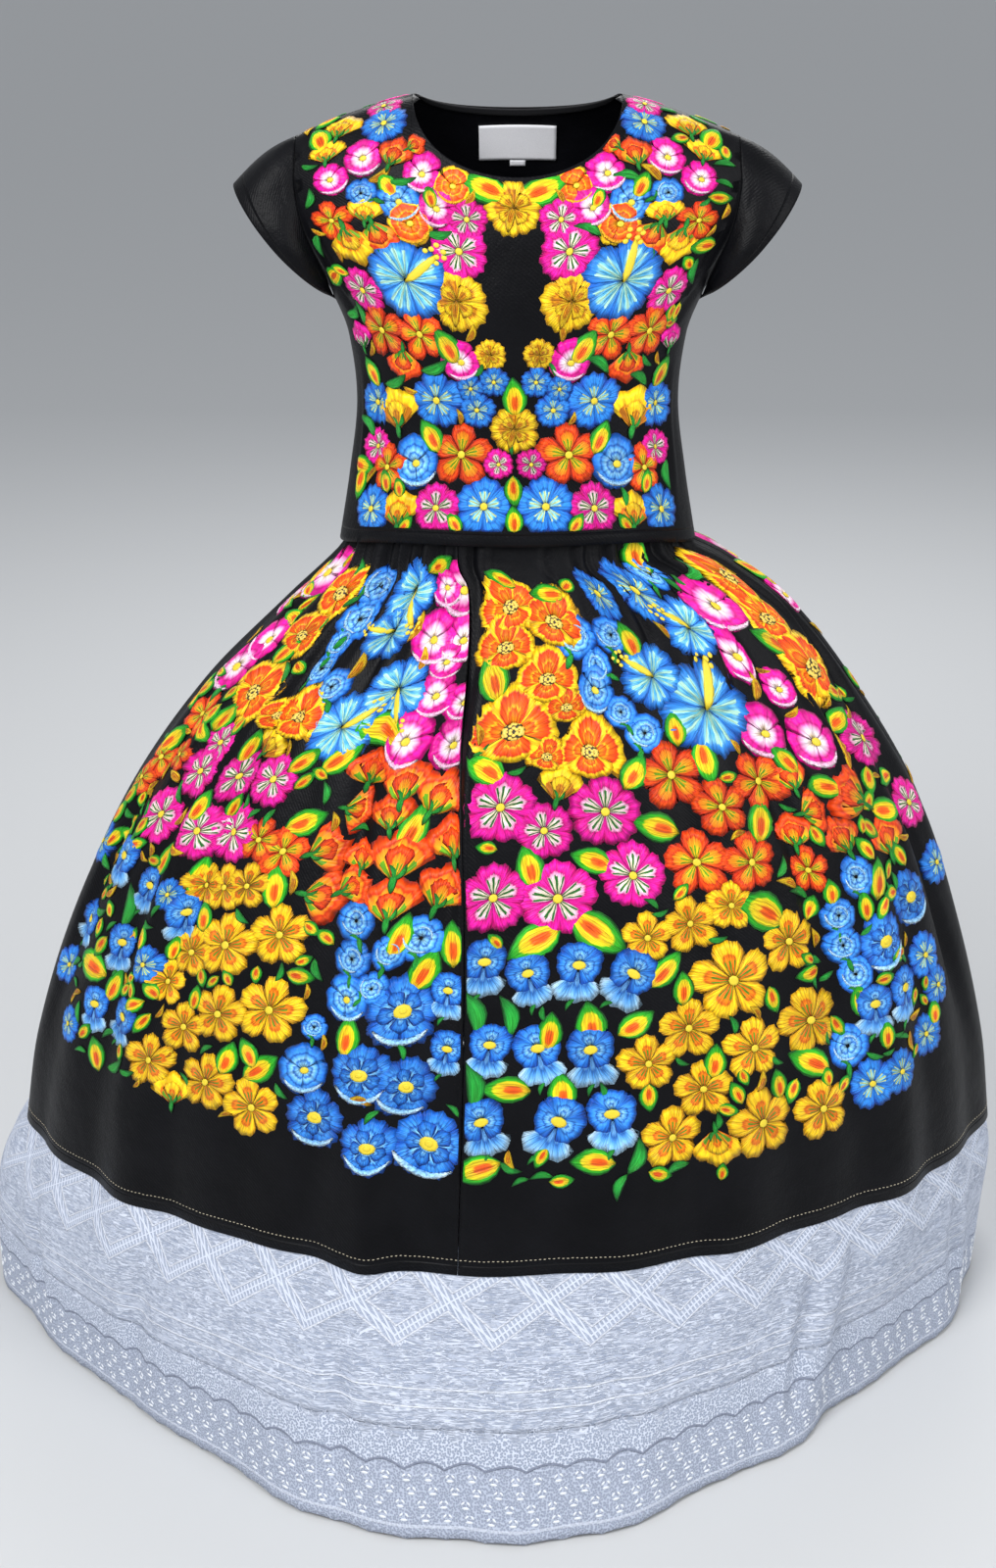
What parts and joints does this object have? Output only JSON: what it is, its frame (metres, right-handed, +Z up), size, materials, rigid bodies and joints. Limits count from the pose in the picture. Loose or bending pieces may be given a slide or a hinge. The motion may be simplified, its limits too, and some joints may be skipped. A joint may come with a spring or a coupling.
{
  "type": "embroidered blouse and long gathered skirt set with lace flounce (pollera dress)",
  "caption": "Short cap-sleeved black blouse worn over a long, full gathered skirt with a white lace flounce, densely embroidered with flowers.",
  "frame": {"origin": "where the wearer holds it up: midway between the shoulders, level with the neck points of the blouse", "axes": "+Z up, -Y out of the garment's front, +X towards the wearer's left"},
  "size_m": [1.288, 1.0391, 1.4507],
  "materials": {
    "black_satin_cotton": "soft satin sheen",
    "black_facing": "matt",
    "white_label": "smooth woven tape",
    "white_lace": "matt backed lace",
    "white_edging": "matt embroidered lace"
  },
  "bodies": {
    "root": {"blouse_front": "black_satin_cotton", "blouse_back": "black_satin_cotton", "sleeve_left": "black_satin_cotton", "sleeve_right": "black_satin_cotton", "neck_facing": "black_facing", "neck_label": "white_label", "size_tab": "white_label", "skirt_waistband": "black_satin_cotton", "skirt_front_left": "black_satin_cotton", "skirt_front_right": "black_satin_cotton", "skirt_back_right": "black_satin_cotton", "skirt_back_left": "black_satin_cotton", "flounce_front": "white_lace", "flounce_back": "white_lace", "edging_front": "white_edging", "edging_back": "white_edging"}
  },
  "joints": []
}
